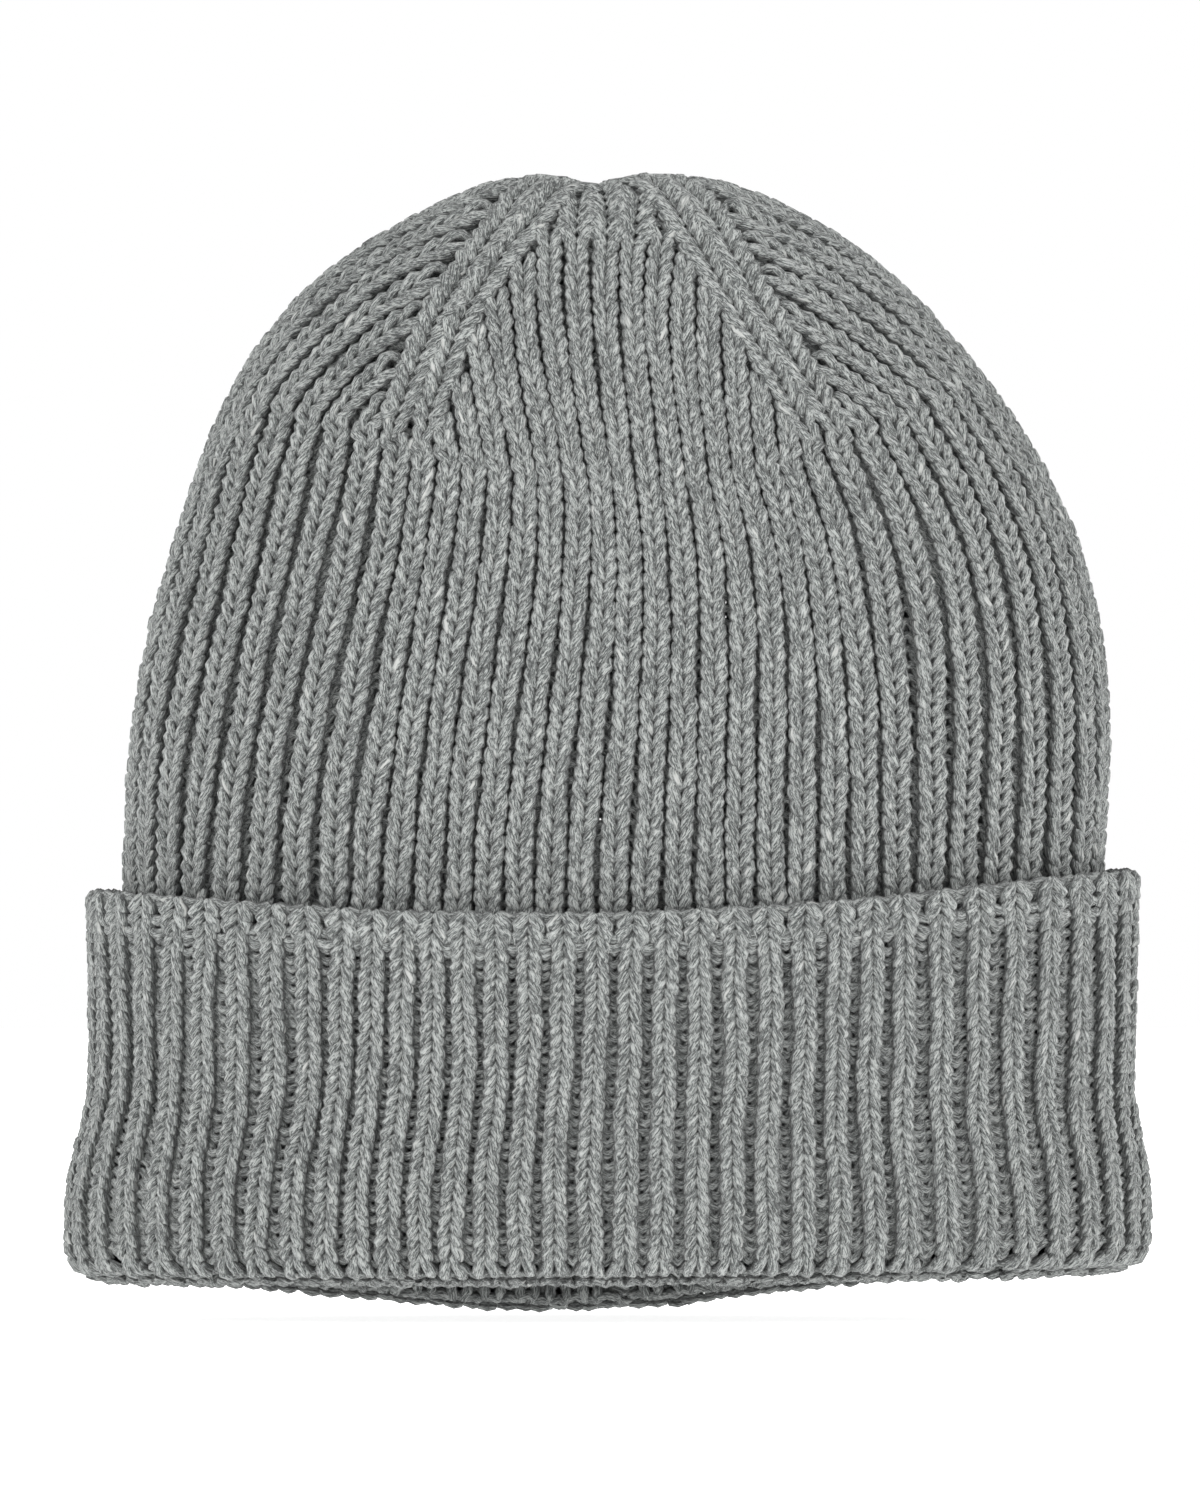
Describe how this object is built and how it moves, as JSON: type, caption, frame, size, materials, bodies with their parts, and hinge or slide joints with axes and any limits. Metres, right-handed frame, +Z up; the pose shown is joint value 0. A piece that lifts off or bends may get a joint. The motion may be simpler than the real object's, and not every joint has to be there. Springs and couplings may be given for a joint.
{
  "type": "knit beanie",
  "caption": "Ribbed knit beanie with a turned-up cuff and a four-gore crown, standing open on its hem.",
  "frame": {"origin": "middle of the hem's flat resting face, on the surface that the beanie stands on", "axes": "+Z up towards the crown's apex, +X along the beanie's wide direction, -Y towards its front; the centre back seam is on the +Y side"},
  "size_m": [0.215, 0.115, 0.2255],
  "materials": {
    "knit_body": "brushed marl rib knit",
    "knit_cuff": "brushed marl rib knit, reverse side out",
    "seam_yarn": "matching marl linking yarn"
  },
  "bodies": {
    "cuff": {"turned_fold": "knit_cuff", "cuff_panel": "knit_cuff", "cuff_start_edge": "knit_cuff", "cuff_seam": "seam_yarn"},
    "crown_and_body": {"body_panel": "knit_body", "crown_front": "knit_body", "crown_right": "knit_body", "crown_left": "knit_body", "crown_back_left": "knit_body", "crown_back_right": "knit_body", "body_seam": "seam_yarn", "crown_tie": "seam_yarn"}
  },
  "joints": [
    {"name": "cuff_unroll", "type": "slide", "parent": "cuff", "child": "crown_and_body", "axis": [0, 0, 1], "range_m": [0, 0.062]}
  ]
}
